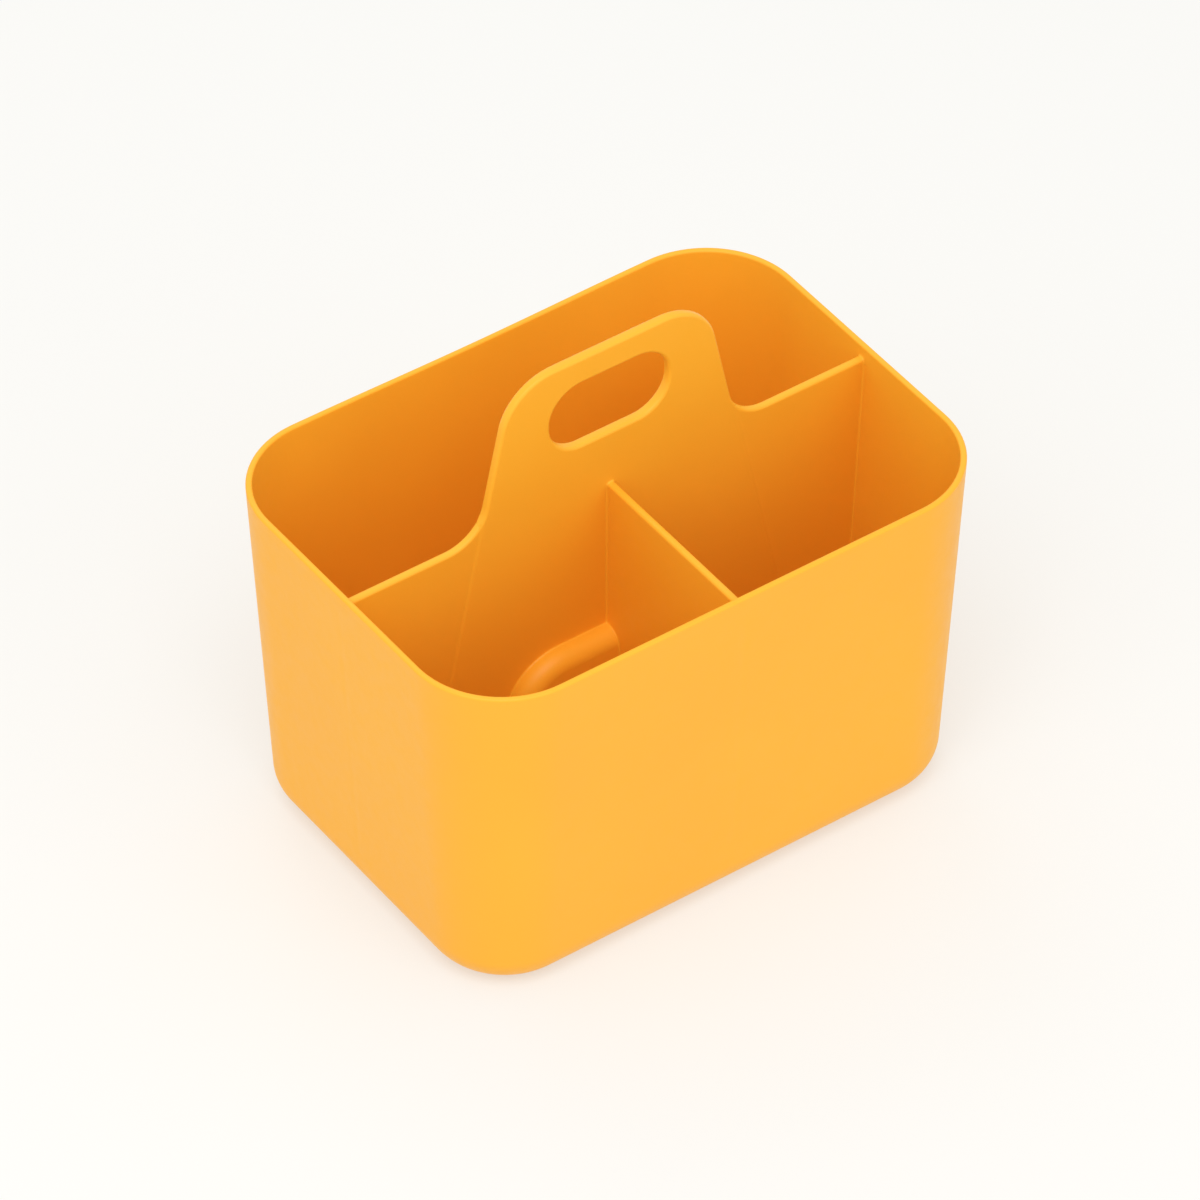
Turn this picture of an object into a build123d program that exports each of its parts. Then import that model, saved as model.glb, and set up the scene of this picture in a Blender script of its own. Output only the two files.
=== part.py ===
"""Open cleaning caddy with a long divider that rises to a handle.

One plastic moulding, built as the solids that meet at its own visible boundaries.
Origin: centre of the base, on the surface that it stands on. +X along the long side,
+Y towards the undivided compartment, +Z up. Millimetres.
"""
import os
from math import cos, radians, tan

from build123d import *

# Tub
RIM_LENGTH = 300.0
RIM_WIDTH = 218.8
RIM_HEIGHT = 193.4
WALL_THICKNESS = 3.2
FLOOR_THICKNESS = 3.0
WALL_DRAFT = 2.75
BASE_CORNER_RADIUS = 39.3
BASE_EDGE_RADIUS = 19.0
RIM_ROUNDING = 1.2

# Dividers
DIVIDER_HEIGHT = 187.0
CROSS_HEIGHT = 186.8
WING_THICKNESS = 4.3
CROSS_THICKNESS = 4.0
PANEL_THICKNESS = 5.2
DIVIDER_DRAFT = 0.25
DIVIDER_ROUNDING = 1.6

# Handle
HANDLE_HEIGHT = 269.5
HANDLE_CORNER_HALF = 54.7
HANDLE_SHOULDER_RADIUS = 30.0
HANDLE_FOOT_RADIUS = 22.0
HANDLE_FLANK_SLOPE = 12.2
GRIP_LENGTH = 67.0
GRIP_HEIGHT = 37.4
GRIP_END_RADIUS = 18.0
GRIP_CENTRE_HEIGHT = 236.0
GRIP_ROUNDING = 1.8
PANEL_MARGIN = 2.0

# Nesting pocket
POCKET_HEIGHT = 99.9
POCKET_CORNER_HALF = 50.5
POCKET_FLANK_SLOPE = 22.6
POCKET_SHOULDER_RADIUS = 30.0
POCKET_TOP_HALF_DEPTH = 13.0
POCKET_DRAFT = 3.0
POCKET_ROUNDING = 8.0
POCKET_WALL = 3.0

# How near an edge must lie to a level or a corner to be picked for rounding
PICK_MARGIN = 1.0

# Sizes that follow from the ones above
lean = tan(radians(WALL_DRAFT))
outer_base_length = RIM_LENGTH - 2 * RIM_HEIGHT * lean
outer_base_width = RIM_WIDTH - 2 * RIM_HEIGHT * lean
wall_across = WALL_THICKNESS / cos(radians(WALL_DRAFT))
inner_inset = wall_across - FLOOR_THICKNESS * lean
inner_base_length = outer_base_length - 2 * inner_inset
inner_base_width = outer_base_width - 2 * inner_inset
inner_corner_radius = BASE_CORNER_RADIUS - inner_inset
inner_edge_radius = BASE_EDGE_RADIUS - FLOOR_THICKNESS
floor_inset = BASE_EDGE_RADIUS * tan(radians((90 - WALL_DRAFT) / 2))
floor_length = outer_base_length - 2 * floor_inset
floor_width = outer_base_width - 2 * floor_inset
floor_corner_radius = BASE_CORNER_RADIUS - floor_inset
reach = RIM_LENGTH


def thickness_at_floor(thickness, height):
    """Thickness at z = 0 of a drafted plate that is this thick at a height."""
    return thickness + 2 * height * tan(radians(DIVIDER_DRAFT))


def flank_x(corner_half, top, slope, z):
    """X at height z of a flank that starts at corner_half at the top and slopes outward."""
    return corner_half + (top - z) * tan(radians(slope))


def handle_flank_x(z, margin=0.0):
    """X of the handle's flank at height z, moved outward by a margin."""
    return flank_x(HANDLE_CORNER_HALF, HANDLE_HEIGHT, HANDLE_FLANK_SLOPE, z) + margin


# The whole outer shape, and the space inside it carried up past the rim
with BuildPart() as tub_block:
    with BuildSketch():
        RectangleRounded(outer_base_length, outer_base_width, BASE_CORNER_RADIUS)
    extrude(amount=RIM_HEIGHT, taper=-WALL_DRAFT)
    fillet(tub_block.faces().sort_by(Axis.Z)[0].edges(), BASE_EDGE_RADIUS)

with BuildPart() as cavity:
    with BuildSketch(Plane.XY.offset(FLOOR_THICKNESS)):
        RectangleRounded(inner_base_length, inner_base_width, inner_corner_radius)
    extrude(amount=HANDLE_HEIGHT - FLOOR_THICKNESS, taper=-WALL_DRAFT)
    fillet(cavity.faces().sort_by(Axis.Z)[0].edges(), inner_edge_radius)

with BuildPart() as floor_slab:
    with BuildSketch():
        RectangleRounded(floor_length, floor_width, floor_corner_radius)
    extrude(amount=FLOOR_THICKNESS)

# Nesting pocket: a hollow raised pocket with the handle's outline, open below
with BuildPart() as pocket_block:
    pocket_base_half_depth = POCKET_TOP_HALF_DEPTH + POCKET_HEIGHT * tan(radians(POCKET_DRAFT))
    with BuildSketch():
        Rectangle(reach, 2 * pocket_base_half_depth)
    extrude(amount=POCKET_HEIGHT, taper=POCKET_DRAFT)
    with BuildSketch(Plane.XZ):
        with BuildLine():
            base_half = flank_x(POCKET_CORNER_HALF, POCKET_HEIGHT, POCKET_FLANK_SLOPE, 0)
            Polyline(
                (-base_half, 0),
                (-POCKET_CORNER_HALF, POCKET_HEIGHT),
                (POCKET_CORNER_HALF, POCKET_HEIGHT),
                (base_half, 0),
                close=True,
            )
        make_face()
        fillet(vertices().group_by(Axis.Y)[-1], POCKET_SHOULDER_RADIUS)
    extrude(amount=reach, both=True, mode=Mode.INTERSECT)
    long_faces = pocket_block.faces().sort_by(Axis.Y)
    crest_edges = (long_faces[0].edges() + long_faces[-1].edges()).filter_by(
        lambda edge: edge.center().Z > POCKET_WALL
    )
    fillet(crest_edges, POCKET_ROUNDING)

with BuildPart() as nesting_pocket:
    add(pocket_block.part)
    offset(amount=-POCKET_WALL, openings=nesting_pocket.faces().sort_by(Axis.Z)[0])
nesting_pocket.part.label = "nesting_pocket"

with BuildPart() as tub_floor:
    add(floor_slab.part)
    add(pocket_block.part, mode=Mode.SUBTRACT)
tub_floor.part.label = "tub_floor"

with BuildPart() as tub_walls:
    add(tub_block.part)
    add(cavity.part, mode=Mode.SUBTRACT)
    add(floor_slab.part, mode=Mode.SUBTRACT)
    rim_edges = tub_walls.faces().sort_by(Axis.Z)[-1].edges()
    fillet(rim_edges, RIM_ROUNDING)
tub_walls.part.label = "tub_walls"


def long_divider(thickness, height):
    """The long divider over its whole outline, as thick as stated at a height."""
    with BuildPart() as plate:
        with BuildSketch():
            Rectangle(2 * reach, thickness_at_floor(thickness, height))
        extrude(amount=HANDLE_HEIGHT, taper=DIVIDER_DRAFT)
        with BuildSketch(Plane.XZ):
            with BuildLine():
                foot = handle_flank_x(DIVIDER_HEIGHT)
                Polyline(
                    (-reach, 0),
                    (-reach, DIVIDER_HEIGHT),
                    (-foot, DIVIDER_HEIGHT),
                    (-HANDLE_CORNER_HALF, HANDLE_HEIGHT),
                    (HANDLE_CORNER_HALF, HANDLE_HEIGHT),
                    (foot, DIVIDER_HEIGHT),
                    (reach, DIVIDER_HEIGHT),
                    (reach, 0),
                    close=True,
                )
            make_face()
            fillet(vertices().group_by(Axis.Y)[-1], HANDLE_SHOULDER_RADIUS)
            feet = vertices().filter_by(lambda corner: abs(abs(corner.X) - foot) < PICK_MARGIN)
            fillet(feet, HANDLE_FOOT_RADIUS)
        extrude(amount=reach, both=True, mode=Mode.INTERSECT)
        sides = plate.faces().sort_by(Axis.Y)
        top_edges = (sides[0].edges() + sides[-1].edges()).filter_by(
            lambda edge: edge.center().Z > DIVIDER_HEIGHT - PICK_MARGIN
        )
        fillet(top_edges, DIVIDER_ROUNDING)
    return plate.part


thick_plate = long_divider(PANEL_THICKNESS, HANDLE_HEIGHT)
thin_plate = long_divider(WING_THICKNESS, DIVIDER_HEIGHT)

# The space that the panel may fill: between the two flanks, carried down to the floor
with BuildPart() as panel_space:
    with BuildSketch(Plane.XZ):
        with BuildLine():
            bottom_half = handle_flank_x(0, PANEL_MARGIN)
            top_half = handle_flank_x(HANDLE_HEIGHT, PANEL_MARGIN)
            Polyline(
                (-bottom_half, 0),
                (-top_half, HANDLE_HEIGHT),
                (top_half, HANDLE_HEIGHT),
                (bottom_half, 0),
                close=True,
            )
        make_face()
    extrude(amount=reach, both=True)

with BuildPart() as handle_panel:
    add(thick_plate)
    add(panel_space.part, mode=Mode.INTERSECT)
    with BuildSketch(Plane.XZ):
        with Locations((0, GRIP_CENTRE_HEIGHT)):
            RectangleRounded(GRIP_LENGTH, GRIP_HEIGHT, GRIP_END_RADIUS)
    extrude(amount=reach, both=True, mode=Mode.SUBTRACT)
    grip_edges = handle_panel.edges().filter_by(
        lambda edge: abs(edge.center().Z - GRIP_CENTRE_HEIGHT) < GRIP_HEIGHT / 2 + PICK_MARGIN
        and abs(edge.center().X) < GRIP_LENGTH / 2 + PICK_MARGIN
        and abs(edge.center().Y) > PICK_MARGIN
    )
    fillet(grip_edges, GRIP_ROUNDING)
    add(floor_slab.part, mode=Mode.SUBTRACT)
    add(pocket_block.part, mode=Mode.SUBTRACT)
handle_panel.part.label = "handle_panel"

wings = []
for name, side in (("divider_wing_left", Keep.BOTTOM), ("divider_wing_right", Keep.TOP)):
    with BuildPart() as wing:
        add(thin_plate)
        add(cavity.part, mode=Mode.INTERSECT)
        add(panel_space.part, mode=Mode.SUBTRACT)
        add(pocket_block.part, mode=Mode.SUBTRACT)
        split(bisect_by=Plane.YZ, keep=side)
    wing.part.label = name
    wings.append(wing)

with BuildPart() as cross_divider:
    with BuildSketch():
        Rectangle(thickness_at_floor(CROSS_THICKNESS, CROSS_HEIGHT), 2 * reach)
    extrude(amount=CROSS_HEIGHT, taper=DIVIDER_DRAFT)
    fillet(cross_divider.faces().sort_by(Axis.Z)[-1].edges().filter_by(Axis.Y), DIVIDER_ROUNDING)
    add(cavity.part, mode=Mode.INTERSECT)
    add(thick_plate, mode=Mode.SUBTRACT)
    add(pocket_block.part, mode=Mode.SUBTRACT)
    split(bisect_by=Plane.XZ, keep=Keep.TOP)
cross_divider.part.label = "cross_divider"

os.makedirs("parts", exist_ok=True)
for piece in (tub_walls, tub_floor, nesting_pocket, handle_panel, *wings, cross_divider):
    export_step(piece.part, f"parts/{piece.part.label}.step")
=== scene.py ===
from math import atan2, ceil, cos, pi, radians, sin, tan

import bpy
import numpy as np
from mathutils import Matrix, Vector
from mathutils.geometry import delaunay_2d_cdt


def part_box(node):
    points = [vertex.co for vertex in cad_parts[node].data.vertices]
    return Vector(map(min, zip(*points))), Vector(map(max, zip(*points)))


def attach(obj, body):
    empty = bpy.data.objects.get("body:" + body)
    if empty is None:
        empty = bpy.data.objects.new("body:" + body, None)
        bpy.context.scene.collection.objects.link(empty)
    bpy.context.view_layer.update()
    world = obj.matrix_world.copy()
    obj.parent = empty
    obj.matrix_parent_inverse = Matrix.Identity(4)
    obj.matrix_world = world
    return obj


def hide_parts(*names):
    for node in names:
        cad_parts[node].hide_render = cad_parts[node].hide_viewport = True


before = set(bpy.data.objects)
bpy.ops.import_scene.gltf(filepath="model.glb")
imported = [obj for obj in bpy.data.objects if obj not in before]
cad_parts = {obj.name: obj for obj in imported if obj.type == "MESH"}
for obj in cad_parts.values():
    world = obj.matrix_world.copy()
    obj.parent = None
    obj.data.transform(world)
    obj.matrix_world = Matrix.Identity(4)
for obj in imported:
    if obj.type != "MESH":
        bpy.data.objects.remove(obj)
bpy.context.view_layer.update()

MM = 0.001

# Metres throughout. +X runs along the long side, +Y towards the undivided compartment, +Z up.

# The view: a long lens a few metres away, aimed near the middle of the tub
VIEW_AZIMUTH = -35.418
VIEW_ELEVATION = 42.672
VIEW_DISTANCE = 4.128
VIEW_AIM = Vector((-0.0025, 0.0019, 0.1101))
LENS = 264.95
SENSOR = 36.0
VIEW_REACH = 20.0

# Studio: an even white surround, a pale floor that glows a little, and four softboxes
WORLD_STRENGTH = 0.81
FLOOR_HALF = 6.0
FLOOR_LEVEL = -0.1 * MM
FLOOR_GREY = 0.4
FLOOR_ROUGHNESS = 0.9
FLOOR_GLOW = 0.5
FLOOR_GLOW_COLOUR = (1.0, 0.99, 0.935)
SOFTBOX_DISTANCE = 3.0
SOFTBOX_SIZE = 1.6
SOFTBOX_TARGET = Vector((0, 0, 0.1))
# name, azimuth, elevation, watts
SOFTBOXES = (
    ("key", -35, 62, 29),
    ("front_low", 15, 32, 7.5),
    ("left", -70, 45, 10.5),
    ("back", 170, 45, 7.5),
)

# Shape of the moulding, in metres. Places and overall sizes come from the frame's boxes.
WALL_THICKNESS = 3.2 * MM
WALL_LEAN = radians(2.75)
BASE_CORNER_RADIUS = 39.3 * MM
BASE_EDGE_RADIUS = 19.0 * MM
RIM_ROUNDING = 1.2 * MM
WING_THICKNESS = 4.3 * MM
PANEL_THICKNESS = 5.2 * MM
CROSS_THICKNESS = 4.0 * MM
DIVIDER_LEAN = radians(0.25)
DIVIDER_ROUNDING = 1.6 * MM
DIVIDER_HEIGHT = 187.0 * MM
HANDLE_CORNER_HALF = 54.7 * MM
HANDLE_SHOULDER_RADIUS = 30.0 * MM
HANDLE_FOOT_RADIUS = 22.0 * MM
HANDLE_FLANK_LEAN = radians(12.2)
GRIP_LENGTH = 67.0 * MM
GRIP_HEIGHT = 37.4 * MM
GRIP_END_RADIUS = 18.0 * MM
GRIP_CENTRE_HEIGHT = 236.0 * MM
GRIP_ROUNDING = 1.8 * MM
PANEL_MARGIN = 2.0 * MM
PANEL_STEP_WIDTH = 2.6 * MM
PANEL_STEP_SHARE = 0.4
PANEL_SWELL_WIDTH = 40.0 * MM
POCKET_CORNER_HALF = 50.5 * MM
POCKET_FLANK_LEAN = radians(22.6)
POCKET_SHOULDER_RADIUS = 30.0 * MM
POCKET_TOP_HALF_DEPTH = 13.0 * MM
POCKET_LEAN = radians(3.0)
POCKET_ROUNDING = 8.0 * MM

# Surface of the plastic. Noise scales are in waves per metre.
BASE_DEEP = (0.942, 0.430, 0.026)
BASE_LIGHT = (0.957, 0.450, 0.029)
MOTTLE = (0.962, 0.470, 0.036)
# lighter colour along sharp edges: a painted highlight for light caught on rims and divider tops; the
# scuffs use the same colour
EDGE_HIGHLIGHT_AND_SCUFF = (0.965, 0.51, 0.045)
ROUGHNESS = 0.42
SPECULAR = 0.27
PLASTIC_IOR = 1.49
SLOW_SCALE = 9
SCUFF_SCALE = 60
MOTTLE_SCALE = 140
# breaks up the painted highlight along sharp edges
EDGE_HIGHLIGHT_SCALE = 180
GRAIN_SCALE = 3200
SCUFF_STRETCH = (1.0, 9.0, 1.0)
SCUFF_TURN = (0.5, 0.3, 0.8)
# width and samples of the sharp-edge mask that carries the painted highlight
EDGE_HIGHLIGHT_WIDTH = 1.2 * MM
EDGE_HIGHLIGHT_SAMPLES = 4
# most that each one changes the colour, as a share of the mix
MOTTLE_SHARE = 0.10
GRAIN_SHARE = 0.08
# painted highlight along sharp edges
EDGE_HIGHLIGHT_SHARE = 0.12
SCUFF_SHARE = 0.05
# and the roughness
MOTTLE_SHINE = 0.05
MOTTLE_DULL = 0.06
SLOW_GLOSS = 0.03
# sharp edges under the painted highlight are also glossier
EDGE_GLOSS = 0.10
SCUFF_DULL = 0.08
# fine relief
GRAIN_DEPTH = 0.02 * MM
GRAIN_STRENGTH = 0.35
MOTTLE_DEPTH = 0.05 * MM
MOTTLE_STRENGTH = 0.4

# Details of the shape that only the looks have
JOINT_RADIUS = 0.8 * MM
EMBED = 0.5 * MM
PAST_MIDDLE = -5 * MM
SINK_DEPTH = 0.10 * MM
SINK_WIDTH = 2.2 * MM
SINK_FADE_BELOW = 20 * MM
SINK_FADE_ABOVE = 10 * MM
RIM_BOW = 1.0 * MM
BOW_SHARPNESS = 8

# How finely the meshes are divided
PATH_STEP = 1.0 * MM
CROSS_TOP_STEP = 0.8 * MM
FLOOR_PATH_STEP = 2 * MM
WALL_STEP = 4 * MM
PLATE_SPACING = 5 * MM
FLOOR_SPACING = 8 * MM
LEAST_ARC_STEPS = 6
CORNER_STEPS = 26
BASE_ARC_POINTS = 28
INNER_ARC_POINTS = 24
RIM_ARC_POINTS = 12
SAME_POINT = 0.02 * MM
ON_EDGE = 0.001 * MM
CLEAR_OF_END = 0.05 * MM
TINY = 1e-18
POINTS_AT_ONCE = 2000
# columns of points along a straight wall: close together in the middle, where the sink mark lies
FINE_COLUMNS = np.arange(-8, 8.01, 0.5) * MM
COARSE_START = 12 * MM
COARSE_STEP = 5 * MM
# distances from a plate's edge at which a row of points follows it
ROWS = np.array((0.05, 0.14, 0.3, 0.5, 0.54, 0.62, 0.76, 0.98, 1.3, 1.6, 1.8, 2.1, 2.8, 3.6, 5.2)) * MM
# a row's points are dropped where another edge is nearer than this share of the row's distance
ROW_SHARE = 0.97

walls_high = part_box("tub_walls")[1]
pocket_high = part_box("nesting_pocket")[1]
RIM_TOP = walls_high.z
POCKET_TOP = pocket_high.z
FLOOR_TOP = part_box("tub_floor")[1].z
HANDLE_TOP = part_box("handle_panel")[1].z
CROSS_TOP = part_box("cross_divider")[1].z


# ---------------------------------------------------------------- camera, light and stage

def towards(azimuth, elevation):
    """Unit vector from the object towards a viewer at these angles, in degrees."""
    a, e = radians(azimuth), radians(elevation)
    return Vector((sin(a) * cos(e), -cos(a) * cos(e), sin(e)))


def looking(place, target):
    """World matrix of a camera or light at place that points at target."""
    back = (place - target).normalized()
    right = Vector((0, 0, 1)).cross(back).normalized()
    up = back.cross(right)
    rotation = Matrix((right, up, back)).transposed()
    return Matrix.Translation(place) @ rotation.to_4x4()


def add_camera():
    data = bpy.data.cameras.new("camera")
    data.lens = LENS
    data.sensor_width = SENSOR
    data.clip_end = VIEW_REACH
    camera = bpy.data.objects.new("camera", data)
    bpy.context.scene.collection.objects.link(camera)
    place = VIEW_AIM + VIEW_DISTANCE * towards(VIEW_AZIMUTH, VIEW_ELEVATION)
    camera.matrix_world = looking(place, VIEW_AIM)
    bpy.context.scene.camera = camera


def add_softbox(name, azimuth, elevation, watts):
    data = bpy.data.lights.new(name, "AREA")
    data.shape = "SQUARE"
    data.size = SOFTBOX_SIZE
    data.energy = watts
    lamp = bpy.data.objects.new(name, data)
    bpy.context.scene.collection.objects.link(lamp)
    place = SOFTBOX_TARGET + SOFTBOX_DISTANCE * towards(azimuth, elevation)
    lamp.matrix_world = looking(place, SOFTBOX_TARGET)


def add_floor():
    mesh = bpy.data.meshes.new("floor")
    half = FLOOR_HALF
    corners = [(x, y, FLOOR_LEVEL) for x, y in ((-half, -half), (half, -half), (half, half), (-half, half))]
    mesh.from_pydata(corners, [], [(0, 1, 2, 3)])
    floor = bpy.data.objects.new("floor", mesh)
    bpy.context.scene.collection.objects.link(floor)
    material = bpy.data.materials.new("pale_floor")
    material.use_nodes = True
    shader = material.node_tree.nodes["Principled BSDF"]
    shader.inputs["Base Color"].default_value = (FLOOR_GREY, FLOOR_GREY, FLOOR_GREY, 1)
    shader.inputs["Roughness"].default_value = FLOOR_ROUGHNESS
    shader.inputs["Specular IOR Level"].default_value = 0.0
    shader.inputs["Emission Color"].default_value = (*FLOOR_GLOW_COLOUR, 1)
    shader.inputs["Emission Strength"].default_value = FLOOR_GLOW
    mesh.materials.append(material)


def add_world():
    world = bpy.data.worlds.new("studio")
    world.use_nodes = True
    background = world.node_tree.nodes["Background"]
    background.inputs["Color"].default_value = (1, 1, 1, 1)
    background.inputs["Strength"].default_value = WORLD_STRENGTH
    bpy.context.scene.world = world


# ---------------------------------------------------------------- flat outlines

def rounded_path(corners, step=PATH_STEP):
    """Dense points along a path of (x, z, radius) corners, each corner rounded at its radius."""
    points = []
    for i, (x, z, radius) in enumerate(corners):
        here = np.array((x, z))
        if radius == 0 or i in (0, len(corners) - 1):
            points.append(here)
            continue
        before = np.array(corners[i - 1][:2]) - here
        after = np.array(corners[i + 1][:2]) - here
        before /= np.linalg.norm(before)
        after /= np.linalg.norm(after)
        half_angle = np.arccos(np.clip(before @ after, -1, 1)) / 2
        reach = radius / tan(half_angle)
        middle = (before + after) / np.linalg.norm(before + after)
        centre = here + middle * radius / sin(half_angle)
        start, end = here + before * reach - centre, here + after * reach - centre
        a0 = atan2(start[1], start[0])
        turn = (atan2(end[1], end[0]) - a0 + pi) % (2 * pi) - pi
        count = max(LEAST_ARC_STEPS, ceil(abs(turn) * radius / step))
        for k in range(count + 1):
            a = a0 + turn * k / count
            points.append(centre + radius * np.array((cos(a), sin(a))))
    return densify(np.array(points), step)


def densify(points, step=PATH_STEP):
    """The same path with extra points on every stretch that is longer than step."""
    out = [points[0]]
    for a, b in zip(points[:-1], points[1:]):
        count = max(1, ceil(np.linalg.norm(b - a) / step))
        out += [a + (b - a) * k / count for k in range(1, count + 1)]
    return np.array(out)


def clean(points):
    """The path without points that repeat the one before."""
    keep = [points[0]]
    for p in points[1:]:
        if np.linalg.norm(p - keep[-1]) > SAME_POINT:
            keep.append(p)
    return np.array(keep)


def distance_to(points, path, closed=False):
    """Distance from every point to the nearest place on a path."""
    ends = np.vstack([path, path[:1]]) if closed else path
    a, b = ends[:-1], ends[1:]
    ab = b - a
    lengths = np.maximum((ab ** 2).sum(1), TINY)
    out = np.empty(len(points))
    for start in range(0, len(points), POINTS_AT_ONCE):
        stop = start + POINTS_AT_ONCE
        p = points[start:stop, None, :]
        t = np.clip(((p - a) * ab).sum(2) / lengths, 0, 1)
        nearest = a + t[..., None] * ab
        out[start:stop] = np.sqrt(((p - nearest) ** 2).sum(2).min(1))
    return out


def inside(points, loops):
    """True for points inside the region that these closed loops bound."""
    result = np.zeros(len(points), bool)
    for loop in loops:
        ax, ay = loop[:, 0], loop[:, 1]
        bx, by = np.roll(ax, -1), np.roll(ay, -1)
        rise = np.where(by == ay, TINY, by - ay)
        for start in range(0, len(points), POINTS_AT_ONCE):
            stop = start + POINTS_AT_ONCE
            px = points[start:stop, 0:1]
            py = points[start:stop, 1:2]
            spans = (ay > py) != (by > py)
            hits = spans & (px < (bx - ax) * (py - ay) / rise + ax)
            result[start:stop] ^= hits.sum(1) % 2 == 1
    return result


def left_normals(loop):
    """Unit normals to the left of a closed loop's direction."""
    along = np.roll(loop, -1, 0) - np.roll(loop, 1, 0)
    along /= np.maximum(np.linalg.norm(along, axis=1), TINY)[:, None]
    return np.stack([-along[:, 1], along[:, 0]], 1)


def area(loop):
    """Area inside a closed loop, above zero where it runs anticlockwise."""
    x, y = loop[:, 0], loop[:, 1]
    return 0.5 * (x * np.roll(y, -1) - y * np.roll(x, -1)).sum()


def triangulate(loops, spacing):
    """Points and triangles over a region: rows of points follow its edges, a grid fills the rest."""
    loops = [loop if (area(loop) > 0) == (i == 0) else loop[::-1] for i, loop in enumerate(loops)]
    rows = []
    for loop in loops:
        normals = left_normals(loop)
        for depth in ROWS:
            row = loop + normals * depth
            gap = np.min([distance_to(row, other, True) for other in loops], 0)
            rows.append(row[(gap > ROW_SHARE * depth) & inside(row, loops)])
    low, high = loops[0].min(0), loops[0].max(0)
    count_x, count_y = (ceil((high[i] - low[i]) / spacing) for i in (0, 1))
    grid = np.stack(np.meshgrid(np.linspace(low[0], high[0], count_x + 1),
                                np.linspace(low[1], high[1], count_y + 1)), -1).reshape(-1, 2)
    grid = grid[inside(grid, loops)]
    gap = np.min([distance_to(grid, loop, True) for loop in loops], 0)
    grid = grid[gap > ROWS[-1] + spacing / 2]
    points = np.vstack(loops + rows + [grid])
    edges = []
    start = 0
    for loop in loops:
        count = len(loop)
        edges += [(start + k, start + (k + 1) % count) for k in range(count)]
        start += count
    # the triangulation works in millimetres, where its tolerance is small next to the rows' distances
    scale = 1000.0
    tolerance = 1e-5
    found = delaunay_2d_cdt([Vector(p * scale) for p in points], edges, [], 0, tolerance)
    verts = np.array([tuple(v) for v in found[0]]) / scale
    faces = np.array(found[2])
    centres = verts[faces].mean(1)
    faces = faces[inside(centres, loops)]
    used = np.unique(faces)
    order = -np.ones(len(verts), int)
    order[used] = np.arange(len(used))
    return verts[used], order[faces]


def fillet_rise(distance, radius):
    """How far a fillet of this radius stands out at a distance from the surface that it runs into."""
    s = np.clip(distance, 0, radius)
    return radius - np.sqrt(np.maximum(radius ** 2 - (radius - s) ** 2, 0))


# ---------------------------------------------------------------- meshes

def add_piece(name, verts, faces, node, sharp_edges=()):
    """A smooth mesh that stands for one CAD node."""
    mesh = bpy.data.meshes.new(name)
    mesh.from_pydata([tuple(v) for v in verts], [], [tuple(int(i) for i in f) for f in faces])
    mesh.update()
    mesh.shade_smooth()
    if len(sharp_edges):
        wanted = {tuple(sorted(e)) for e in sharp_edges}
        for edge in mesh.edges:
            if tuple(sorted(edge.vertices)) in wanted:
                edge.use_edge_sharp = True
    piece = bpy.data.objects.new(name, mesh)
    bpy.context.scene.collection.objects.link(piece)
    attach(piece, "root")
    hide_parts(node)
    return piece


def plate(name, node, loops, free_paths, half_thickness, spacing, to_space):
    """A plate over a flat region: both faces, and the strip along every edge. Free edges stay smooth."""
    flat, faces = triangulate(loops, spacing)
    free = np.min([distance_to(flat, path) for path in free_paths] or [np.ones(len(flat))], 0)
    half = half_thickness(flat)
    front = to_space(flat, half)
    back = to_space(flat, -half)
    count = len(flat)
    sides = [(face[k], face[(k + 1) % 3]) for face in faces for k in range(3)]
    known = set(sides)
    rim = [(a, b) for a, b in sides if (b, a) not in known]
    a, b, c = faces[0]
    outward = np.cross(front[b] - front[a], front[c] - front[a]) @ (front[a] - back[a]) > 0
    all_faces = [f if outward else f[::-1] for f in faces]
    all_faces += [(f[::-1] if outward else f) + count for f in faces]
    sharp = []
    for a, b in rim:
        strip = (a, a + count, b + count, b)
        all_faces.append(strip if outward else strip[::-1])
        if min(free[a], free[b]) > ON_EDGE:
            sharp += [(a, b), (a + count, b + count)]
    return add_piece(name, np.vstack([front, back]), all_faces, node, sharp)


def arc(centre, radius, start, end, count):
    """Points on an arc, angles in degrees."""
    a = np.radians(np.linspace(start, end, count))
    return np.stack([centre[0] + radius * np.cos(a), centre[1] + radius * np.sin(a)], 1)


# ---------------------------------------------------------------- walls

# The axes of the four round corners, worked out from the rim's box
outer_at_base = (walls_high.x - RIM_ROUNDING + RIM_ROUNDING / cos(WALL_LEAN)
                 - (RIM_TOP - RIM_ROUNDING) * tan(WALL_LEAN))
corner_x = outer_at_base - BASE_CORNER_RADIUS
corner_y = outer_at_base - walls_high.x + walls_high.y - BASE_CORNER_RADIUS


def wall_line(offset, height):
    """Radial place of the outer wall moved inward by offset, at a height."""
    return BASE_CORNER_RADIUS + height * tan(WALL_LEAN) - offset / cos(WALL_LEAN)


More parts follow.
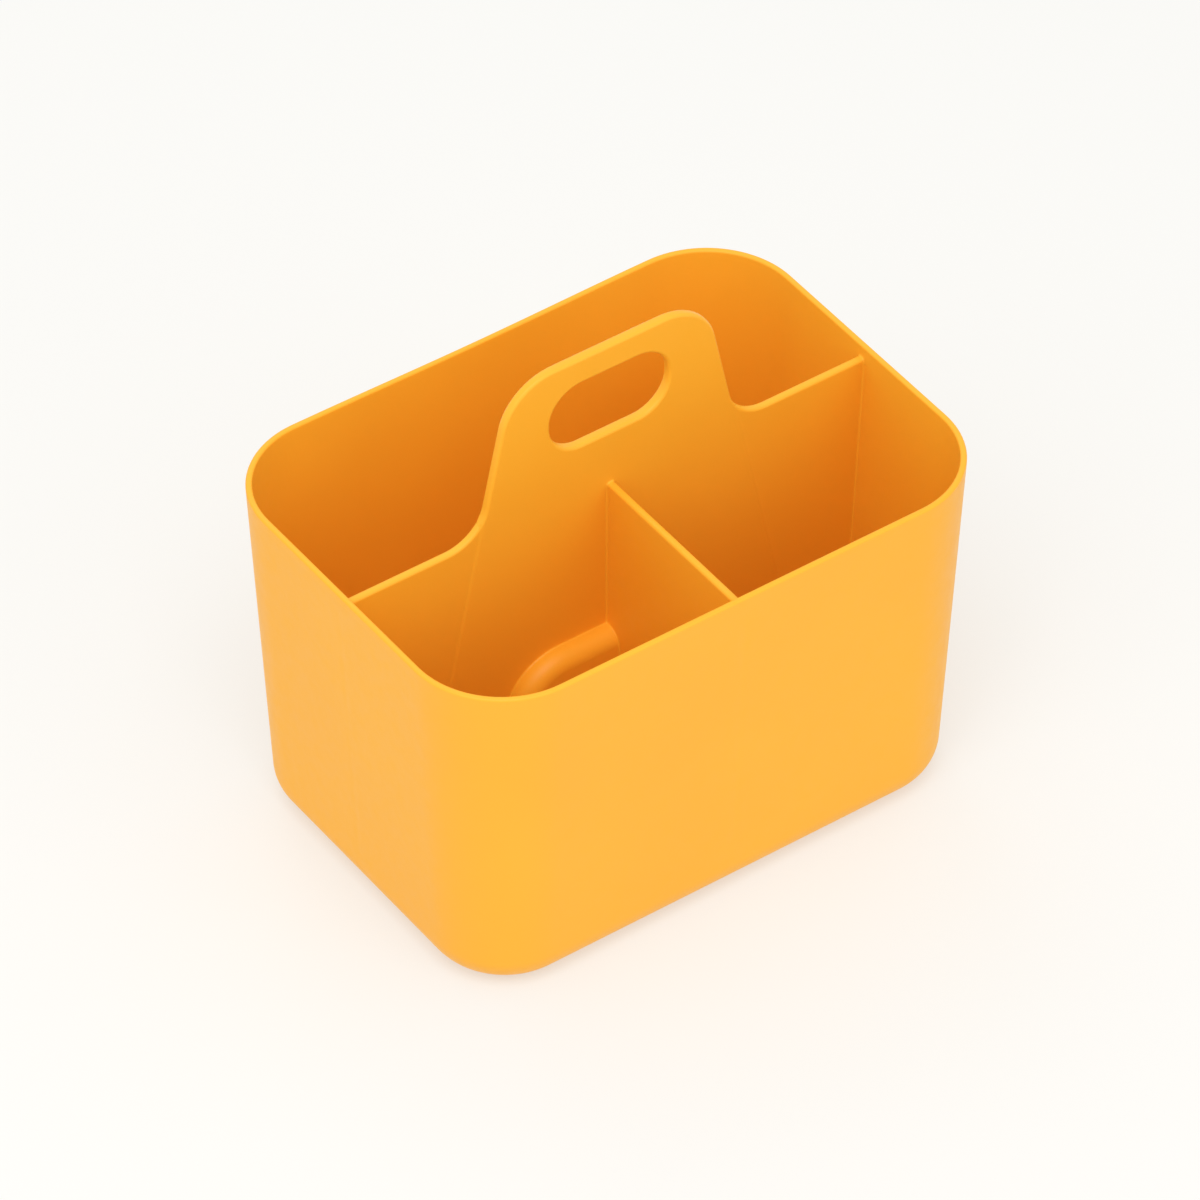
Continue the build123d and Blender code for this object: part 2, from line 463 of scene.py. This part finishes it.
def wall_section():
    """The wall's closed section as (distance from the corner's axis, height), and its inner part."""
    degrees_lean = np.degrees(WALL_LEAN)
    outer_centre = (wall_line(BASE_EDGE_RADIUS, BASE_EDGE_RADIUS), BASE_EDGE_RADIUS)
    inner_radius = BASE_EDGE_RADIUS - FLOOR_TOP
    inner_centre = (wall_line(WALL_THICKNESS + inner_radius, BASE_EDGE_RADIUS), BASE_EDGE_RADIUS)
    rim_height = RIM_TOP - RIM_ROUNDING
    rim_outer = (wall_line(RIM_ROUNDING, rim_height), rim_height)
    rim_inner = (wall_line(WALL_THICKNESS - RIM_ROUNDING, rim_height), rim_height)
    base_arc = arc(outer_centre, BASE_EDGE_RADIUS, -90, -degrees_lean, BASE_ARC_POINTS)
    rim_arc_out = arc(rim_outer, RIM_ROUNDING, -degrees_lean, 90, RIM_ARC_POINTS)
    rim_arc_in = arc(rim_inner, RIM_ROUNDING, 90, 180 - degrees_lean, RIM_ARC_POINTS)
    inner_arc = arc(inner_centre, inner_radius, -degrees_lean, -90, INNER_ARC_POINTS)
    outer_face = densify(np.vstack([base_arc[-1:], rim_arc_out[:1]]), WALL_STEP)
    inner_face = densify(np.vstack([rim_arc_in[-1:], inner_arc[:1]]), WALL_STEP)
    inner = clean(np.vstack([rim_arc_in, inner_face, inner_arc]))
    seam = np.array([(inner_arc[-1][0], 0.0)])
    section = clean(np.vstack([seam, base_arc, outer_face, rim_arc_out, inner]))
    return section, inner


section, inner_section = wall_section()


def straight_steps(half):
    """Places of the columns along a straight wall, as distances from its middle."""
    coarse = np.arange(COARSE_START, half, COARSE_STEP)
    return np.concatenate([-coarse[::-1], FINE_COLUMNS, coarse])


def ring_directions():
    """Foot point and unit direction of every column of points round the tub."""
    columns = []
    sides = (((1, 0), corner_y), ((0, 1), corner_x), ((-1, 0), corner_y), ((0, -1), corner_x))
    for k, (direction, half) in enumerate(sides):
        along = (-direction[1], direction[0])
        base = (direction[0] * corner_x, direction[1] * corner_y)
        for s in straight_steps(half):
            columns.append((base[0] + along[0] * s, base[1] + along[1] * s, direction[0], direction[1]))
        pivot = (base[0] + along[0] * half, base[1] + along[1] * half)
        for i in range(CORNER_STEPS + 1):
            a = radians(90 * k + 90 * i / CORNER_STEPS)
            columns.append((pivot[0], pivot[1], cos(a), sin(a)))
    return np.array(columns)


def build_walls():
    """The wall ring: the section carried round the tub, with sink marks and the back rim's bow."""
    columns = ring_directions()
    count, rows = len(columns), len(section)
    radial = np.repeat(section[None, :, 0], count, 0)
    height = np.repeat(section[None, :, 1], count, 0)
    # the slight hollow where a divider shrinks the wall as it cools, on the outer face only
    outer = np.zeros(rows, bool)
    outer[:rows - len(inner_section)] = True
    upper = np.clip((height - BASE_EDGE_RADIUS) / SINK_FADE_BELOW, 0, 1)
    upper = upper * np.clip((DIVIDER_HEIGHT - height) / SINK_FADE_ABOVE, 0, 1)
    nearly_one = 0.999999
    end_walls = np.abs(columns[:, 2]) > nearly_one
    front_wall = columns[:, 3] < -nearly_one
    for along, where in ((columns[:, 1], end_walls), (columns[:, 0], front_wall)):
        dip = SINK_DEPTH * np.exp(-(along / SINK_WIDTH) ** 2) * where
        radial -= dip[:, None] * outer[None, :] * upper
    x = columns[:, 0:1] + columns[:, 2:3] * radial
    y = columns[:, 1:2] + columns[:, 3:4] * radial
    # the back wall's rim draws inward a little between its corners
    across = np.cos(np.clip(x / (2 * corner_x), -0.5, 0.5) * pi) ** 2
    bow = np.clip(y / walls_high.y, 0, 1) ** BOW_SHARPNESS * across
    y -= RIM_BOW * bow * (height / RIM_TOP) ** 2
    verts = np.stack([x, y, height], 2).reshape(-1, 3)
    faces = []
    for i in range(count):
        j = (i + 1) % count
        for k in range(rows):
            m = (k + 1) % rows
            faces.append((i * rows + k, j * rows + k, j * rows + m, i * rows + m))
    sharp = []
    for i in range(count):
        j = (i + 1) % count
        sharp += [(i * rows, j * rows), (i * rows + rows - 1, j * rows + rows - 1)]
    return add_piece("wall_ring", verts, faces, "tub_walls", sharp)


# ---------------------------------------------------------------- dividers

def handle_flank(height, margin=0.0):
    """X of the handle's flank at a height, moved outward by a margin."""
    return HANDLE_CORNER_HALF + (HANDLE_TOP - height) * tan(HANDLE_FLANK_LEAN) + margin


def panel_half(height):
    """Half of the panel's thickness at a height."""
    return PANEL_THICKNESS / 2 + (HANDLE_TOP - height) * tan(DIVIDER_LEAN)


def inner_wall_path(corner, embed=0.0):
    """The inside of the wall in a section through the middle, from the rim down to the floor."""
    path = inner_section.copy()
    path[:, 0] += corner
    along = np.gradient(path, axis=0)
    along /= np.linalg.norm(along, axis=1)[:, None]
    path += embed * np.stack([-along[:, 1], along[:, 0]], 1)
    return path


def gap_to_tub(flat, corner):
    """Gap to the tub's inner wall or floor, zero inside them; flat holds (way out, height)."""
    out, z = flat[:, 0], flat[:, 1]
    gap = distance_to(flat, inner_wall_path(corner))
    beyond = out > corner + np.interp(z, inner_section[::-1, 1], inner_section[::-1, 0])
    gap = np.where(beyond, 0, gap)
    return np.minimum(gap, np.maximum(z - FLOOR_TOP, 0))


def pocket_path():
    """Outline of the pocket from the left to the right, seen from the front."""
    base_half = POCKET_CORNER_HALF + POCKET_TOP * tan(POCKET_FLANK_LEAN)
    corners = [(-base_half, 0, 0), (-POCKET_CORNER_HALF, POCKET_TOP, POCKET_SHOULDER_RADIUS),
               (POCKET_CORNER_HALF, POCKET_TOP, POCKET_SHOULDER_RADIUS), (base_half, 0, 0)]
    return rounded_path(corners)


def divider_top_path():
    """The free top edge of the long divider from wall to wall, with the handle in the middle."""
    wall_x = corner_x + wall_line(WALL_THICKNESS, DIVIDER_HEIGHT)
    foot = handle_flank(DIVIDER_HEIGHT)
    deep = wall_x + EMBED
    up = DIVIDER_HEIGHT + JOINT_RADIUS
    corners = [
        (-deep, up, 0),
        (-wall_x, up, 0),
        (-wall_x, DIVIDER_HEIGHT, JOINT_RADIUS),
        (-foot, DIVIDER_HEIGHT, HANDLE_FOOT_RADIUS),
        (-HANDLE_CORNER_HALF, HANDLE_TOP, HANDLE_SHOULDER_RADIUS),
        (HANDLE_CORNER_HALF, HANDLE_TOP, HANDLE_SHOULDER_RADIUS),
        (foot, DIVIDER_HEIGHT, HANDLE_FOOT_RADIUS),
        (wall_x, DIVIDER_HEIGHT, JOINT_RADIUS),
        (wall_x, up, 0),
        (deep, up, 0),
    ]
    return rounded_path(corners)


def split_at_flank(path):
    """The left wing's, the panel's and the right wing's part of the divider's top edge."""
    side = np.abs(path[:, 0]) - handle_flank(path[:, 1], PANEL_MARGIN)
    cuts = [i for i in range(len(path) - 1) if (side[i] > 0) != (side[i + 1] > 0)]
    crossings = [path[i] + (path[i + 1] - path[i]) * side[i] / (side[i] - side[i + 1]) for i in cuts]
    left = np.vstack([path[:cuts[0] + 1], crossings[0]])
    middle = np.vstack([crossings[0], path[cuts[0] + 1:cuts[1] + 1], crossings[1]])
    right = np.vstack([crossings[1], path[cuts[1] + 1:]])
    return clean(left), clean(middle), clean(right)


top_path = divider_top_path()
left_top, middle_top, right_top = split_at_flank(top_path)
pocket_outline = pocket_path()
grip_half = GRIP_LENGTH / 2
grip_rise = GRIP_HEIGHT / 2
grip_corners = [(0, GRIP_CENTRE_HEIGHT - grip_rise, 0),
                (grip_half, GRIP_CENTRE_HEIGHT - grip_rise, GRIP_END_RADIUS),
                (grip_half, GRIP_CENTRE_HEIGHT + grip_rise, GRIP_END_RADIUS),
                (-grip_half, GRIP_CENTRE_HEIGHT + grip_rise, GRIP_END_RADIUS),
                (-grip_half, GRIP_CENTRE_HEIGHT - grip_rise, GRIP_END_RADIUS),
                (0, GRIP_CENTRE_HEIGHT - grip_rise, 0)]
grip_path = rounded_path(grip_corners)


def smooth_step(t):
    """From 0 to 1 with level ends, for t from 0 to 1."""
    t = np.clip(t, 0, 1)
    return t * t * (3 - 2 * t)


def long_half_thickness(flat):
    """Half thickness of the long divider: draft, thicker middle, rounded edges, fillets at joints."""
    x, z = np.abs(flat[:, 0]), flat[:, 1]
    inward = handle_flank(z, PANEL_MARGIN) - x
    blend = (PANEL_STEP_SHARE * smooth_step(inward / PANEL_STEP_WIDTH)
             + (1 - PANEL_STEP_SHARE) * smooth_step(inward / PANEL_SWELL_WIDTH))
    wing = WING_THICKNESS / 2 + np.maximum(DIVIDER_HEIGHT - z, 0) * tan(DIVIDER_LEAN)
    half = wing + (panel_half(z) - wing) * blend
    half -= fillet_rise(distance_to(flat, top_path), DIVIDER_ROUNDING)
    half -= fillet_rise(distance_to(flat, grip_path), GRIP_ROUNDING)
    gap = gap_to_tub(np.stack([x, z], 1), corner_x)
    pocket_gap = distance_to(flat, pocket_outline)
    pocket_gap[inside(flat, [pocket_outline])] = 0
    joint = np.maximum(fillet_rise(gap, JOINT_RADIUS), fillet_rise(pocket_gap, JOINT_RADIUS))
    return half + joint


def in_long_plane(flat, half):
    """Places in space of points on one face of the long divider."""
    return np.stack([flat[:, 0], half, flat[:, 1]], 1)


def embedded_pocket_top():
    """The pocket's outline moved a little inside the pocket, above the floor, from left to right."""
    normals = left_normals(pocket_outline)
    path = pocket_outline - normals * EMBED * np.sign(normals[len(normals) // 2, 1])
    return path[path[:, 1] > FLOOR_TOP - EMBED]


def build_panel():
    """The thicker middle of the long divider with the handle and its grip slot."""
    floor_level = FLOOR_TOP - EMBED
    bottom = handle_flank(floor_level, PANEL_MARGIN)
    pocket_top = embedded_pocket_top()
    left_side = densify(np.array([middle_top[0], (-bottom, floor_level)]))
    right_side = densify(np.array([(bottom, floor_level), middle_top[-1]]))
    floor_left = densify(np.array([(-bottom, floor_level), (pocket_top[0][0], floor_level)]))
    floor_right = densify(np.array([(pocket_top[-1][0], floor_level), (bottom, floor_level)]))
    runs = [middle_top[::-1], left_side[1:], floor_left[1:], pocket_top, floor_right, right_side[1:-1]]
    loops = [clean(np.vstack(runs)), clean(grip_path)[:-1]]
    return plate("handle_plate", "handle_panel", loops, [top_path, grip_path], long_half_thickness,
                 PLATE_SPACING, in_long_plane)


def build_wing(name, node, top, side):
    """One wing: side is -1 for the left, 1 for the right; top runs from left to right."""
    floor_level = FLOOR_TOP - EMBED
    bottom = handle_flank(floor_level, PANEL_MARGIN)
    wall = inner_wall_path(corner_x, EMBED)
    start_height = DIVIDER_HEIGHT + JOINT_RADIUS
    wall = wall[(wall[:, 1] < start_height - CLEAR_OF_END) & (wall[:, 0] > bottom)]
    wall = wall * np.array((side, 1))
    outer_to_panel = top if side < 0 else top[::-1]
    panel_side = densify(np.array([outer_to_panel[-1], (side * bottom, floor_level)]))
    floor_run = densify(np.array([(side * bottom, floor_level), wall[-1]]))
    loop = clean(np.vstack([outer_to_panel, panel_side[1:], floor_run[1:], densify(wall)[::-1][1:]]))
    return plate(name, node, [loop], [top], long_half_thickness, PLATE_SPACING, in_long_plane)


def cross_half_thickness(flat):
    """Half thickness of the short divider; flat holds (distance in front of the middle, height)."""
    q, z = flat[:, 0], flat[:, 1]
    half = CROSS_THICKNESS / 2 + np.maximum(CROSS_TOP - z, 0) * tan(DIVIDER_LEAN)
    half -= fillet_rise(distance_to(flat, cross_top), DIVIDER_ROUNDING)
    gap = gap_to_tub(flat, corner_y)
    gap = np.minimum(gap, np.maximum(q - panel_half(z), 0))
    gap = np.minimum(gap, np.where(inside(flat, [pocket_side]), 0, distance_to(flat, pocket_side)))
    return half + fillet_rise(gap, JOINT_RADIUS)


def cross_top_path():
    """The free top edge of the short divider, from the panel to the front wall."""
    up = CROSS_TOP + JOINT_RADIUS
    near = panel_half(CROSS_TOP)
    far = corner_y + wall_line(WALL_THICKNESS, CROSS_TOP)
    corners = [(near - EMBED, up, 0), (near, up, 0), (near, CROSS_TOP, JOINT_RADIUS),
               (far, CROSS_TOP, JOINT_RADIUS), (far, up, 0), (far + EMBED, up, 0)]
    return rounded_path(corners, CROSS_TOP_STEP)


def pocket_side_path(shrink=0.0):
    """Section of the pocket's front half: the side and the rounded edge to its roof."""
    base_depth = POCKET_TOP_HALF_DEPTH + POCKET_TOP * tan(POCKET_LEAN)
    roof = POCKET_TOP - shrink
    corners = [(base_depth - shrink, 0, 0), (POCKET_TOP_HALF_DEPTH - shrink, roof, POCKET_ROUNDING),
               (PAST_MIDDLE, roof, 0)]
    return rounded_path(corners)


cross_top = cross_top_path()
pocket_side = np.vstack([pocket_side_path(), [(PAST_MIDDLE, 0)]])


def build_cross():
    """The short divider, from the panel and the pocket's side to the front wall."""
    floor_level = FLOOR_TOP - EMBED
    up = CROSS_TOP + JOINT_RADIUS
    wall = inner_wall_path(corner_y, EMBED)
    side = pocket_side_path(EMBED)
    face_at_roof = panel_half(POCKET_TOP) - EMBED
    wall = wall[wall[:, 1] < up - CLEAR_OF_END]
    side = side[(side[:, 1] > floor_level) & (side[:, 0] > face_at_roof)]
    floor_run = densify(np.array([wall[-1], (side[0][0], floor_level)]))
    panel_run = densify(np.array([(face_at_roof, POCKET_TOP - EMBED), cross_top[0]]))
    loop = clean(np.vstack([cross_top, densify(wall), floor_run[1:], side, panel_run[:-1]]))

    def to_space(flat, half):
        return np.stack([half, -flat[:, 0], flat[:, 1]], 1)

    return plate("cross_plate", "cross_divider", [loop], [cross_top], cross_half_thickness,
                 PLATE_SPACING, to_space)


# ---------------------------------------------------------------- floor

def rounded_rectangle(half_x, half_y, radius):
    """Closed outline of a rectangle with round corners."""
    corners = [(0, -half_y, 0), (half_x, -half_y, radius), (half_x, half_y, radius),
               (-half_x, half_y, radius), (-half_x, -half_y, radius), (0, -half_y, 0)]
    return clean(rounded_path(corners, FLOOR_PATH_STEP))[:-1]


def build_floor():
    """The flat floor with the pocket's opening, and a small fillet up to the pocket all round."""
    outer_radius = section[0][0]
    outer = rounded_rectangle(corner_x + outer_radius, corner_y + outer_radius, outer_radius)
    opening_x = pocket_high.x - FLOOR_TOP * tan(POCKET_FLANK_LEAN)
    opening_y = pocket_high.y - FLOOR_TOP * tan(POCKET_LEAN)
    foot = rounded_rectangle(opening_x, opening_y, POCKET_ROUNDING)
    opening = rounded_rectangle(opening_x - EMBED, opening_y - EMBED, POCKET_ROUNDING - EMBED)

    def rise(flat):
        gap = np.where(inside(flat, [foot]), 0, distance_to(flat, foot, True))
        return FLOOR_TOP / 2 + fillet_rise(gap, JOINT_RADIUS)

    def to_space(flat, half):
        # the upper face carries the fillet, and the underside is flat
        is_upper = half[0] > 0
        height = FLOOR_TOP / 2 + half if is_upper else np.zeros(len(flat))
        return np.stack([flat[:, 0], flat[:, 1], height], 1)

    return plate("floor_plate", "tub_floor", [outer, opening], [], rise, FLOOR_SPACING, to_space)


# ---------------------------------------------------------------- material

def plastic():
    """Satin polypropylene: fine texture, slow colour and gloss variation, a painted highlight along sharp
    edges, scuffs.
    """
    material = bpy.data.materials.new("polypropylene")
    material.use_nodes = True
    nodes, links = material.node_tree.nodes, material.node_tree.links
    shader = nodes["Principled BSDF"]
    shader.inputs["IOR"].default_value = PLASTIC_IOR
    shader.inputs["Specular IOR Level"].default_value = SPECULAR
    place = nodes.new("ShaderNodeTexCoord").outputs["Object"]

    def noise(scale, detail, roughness=0.5, stretch=None):
        node = nodes.new("ShaderNodeTexNoise")
        node.inputs["Scale"].default_value = scale
        node.inputs["Detail"].default_value = detail
        node.inputs["Roughness"].default_value = roughness
        source = place
        if stretch:
            mapping = nodes.new("ShaderNodeMapping")
            mapping.inputs["Scale"].default_value = stretch
            mapping.inputs["Rotation"].default_value = SCUFF_TURN
            links.new(place, mapping.inputs["Vector"])
            source = mapping.outputs["Vector"]
        links.new(source, node.inputs["Vector"])
        return node.outputs["Fac"]

    def spread(value, from_low, from_high, to_low=0.0, to_high=1.0):
        node = nodes.new("ShaderNodeMapRange")
        node.inputs["From Min"].default_value = from_low
        node.inputs["From Max"].default_value = from_high
        node.inputs["To Min"].default_value = to_low
        node.inputs["To Max"].default_value = to_high
        links.new(value, node.inputs["Value"])
        return node.outputs["Result"]

    def maths(operation, a, b):
        node = nodes.new("ShaderNodeMath")
        node.operation = operation
        for value, socket in ((a, node.inputs[0]), (b, node.inputs[1])):
            if isinstance(value, (int, float)):
                socket.default_value = value
            else:
                links.new(value, socket)
        return node.outputs["Value"]

    def mix(factor, a, b):
        node = nodes.new("ShaderNodeMix")
        node.data_type = "RGBA"
        links.new(factor, node.inputs["Factor"])
        for value, socket in ((a, node.inputs[6]), (b, node.inputs[7])):
            if isinstance(value, tuple):
                socket.default_value = (*value, 1)
            else:
                links.new(value, socket)
        return node.outputs[2]

    # where the surface turns sharply: rims, divider tops, the slot. This mask carries a painted highlight,
    # a lighter colour that stands in for light caught on the rounded edges.
    bevel = nodes.new("ShaderNodeBevel")
    bevel.samples = EDGE_HIGHLIGHT_SAMPLES
    bevel.inputs["Radius"].default_value = EDGE_HIGHLIGHT_WIDTH
    facing = nodes.new("ShaderNodeVectorMath")
    facing.operation = "DOT_PRODUCT"
    geometry = nodes.new("ShaderNodeNewGeometry")
    links.new(bevel.outputs["Normal"], facing.inputs[0])
    links.new(geometry.outputs["Normal"], facing.inputs[1])
    turning = spread(facing.outputs["Value"], 0.995, 0.9)
    # mask of the painted highlight: sharp edges, broken up by noise
    edge_highlight_mask = maths("MULTIPLY", turning, spread(noise(EDGE_HIGHLIGHT_SCALE, 4), 0.4, 0.7))

    slow = noise(SLOW_SCALE, 3)
    mottle = noise(MOTTLE_SCALE, 5, 0.6)
    grain = noise(GRAIN_SCALE, 2)
    scuffs = spread(noise(SCUFF_SCALE, 6, 0.7, SCUFF_STRETCH), 0.64, 0.78)

    tone = mix(spread(slow, 0.3, 0.7), BASE_DEEP, BASE_LIGHT)
    tone = mix(spread(mottle, 0.35, 0.75, 0.0, MOTTLE_SHARE), tone, MOTTLE)
    tone = mix(spread(grain, 0.45, 0.8, 0.0, GRAIN_SHARE), tone, BASE_DEEP)
    # painted highlight: a lighter colour along sharp edges
    tone = mix(maths("MULTIPLY", edge_highlight_mask, EDGE_HIGHLIGHT_SHARE), tone, EDGE_HIGHLIGHT_AND_SCUFF)
    tone = mix(maths("MULTIPLY", scuffs, SCUFF_SHARE), tone, EDGE_HIGHLIGHT_AND_SCUFF)
    links.new(tone, shader.inputs["Base Color"])

    gloss = spread(mottle, 0.3, 0.7, ROUGHNESS - MOTTLE_SHINE, ROUGHNESS + MOTTLE_DULL)
    gloss = maths("ADD", gloss, spread(slow, 0.3, 0.7, -SLOW_GLOSS, SLOW_GLOSS))
    gloss = maths("SUBTRACT", gloss, maths("MULTIPLY", edge_highlight_mask, EDGE_GLOSS))
    gloss = maths("ADD", gloss, maths("MULTIPLY", scuffs, SCUFF_DULL))
    links.new(gloss, shader.inputs["Roughness"])

    texture = nodes.new("ShaderNodeBump")
    texture.inputs["Strength"].default_value = GRAIN_STRENGTH
    texture.inputs["Distance"].default_value = GRAIN_DEPTH
    links.new(grain, texture.inputs["Height"])
    ripple = nodes.new("ShaderNodeBump")
    ripple.inputs["Strength"].default_value = MOTTLE_STRENGTH
    ripple.inputs["Distance"].default_value = MOTTLE_DEPTH
    links.new(mottle, ripple.inputs["Height"])
    links.new(texture.outputs["Normal"], ripple.inputs["Normal"])
    links.new(ripple.outputs["Normal"], shader.inputs["Normal"])
    return material


# ---------------------------------------------------------------- scene

bpy.context.scene.view_settings.view_transform = "Standard"
add_camera()
add_world()
add_floor()
for name, azimuth, elevation, watts in SOFTBOXES:
    add_softbox(name, azimuth, elevation, watts)
pieces = [
    build_walls(),
    build_panel(),
    build_wing("wing_left", "divider_wing_left", left_top, -1),
    build_wing("wing_right", "divider_wing_right", right_top, 1),
    build_cross(),
    build_floor(),
]
poly = plastic()
for piece in pieces + list(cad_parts.values()):
    piece.data.materials.clear()
    piece.data.materials.append(poly)
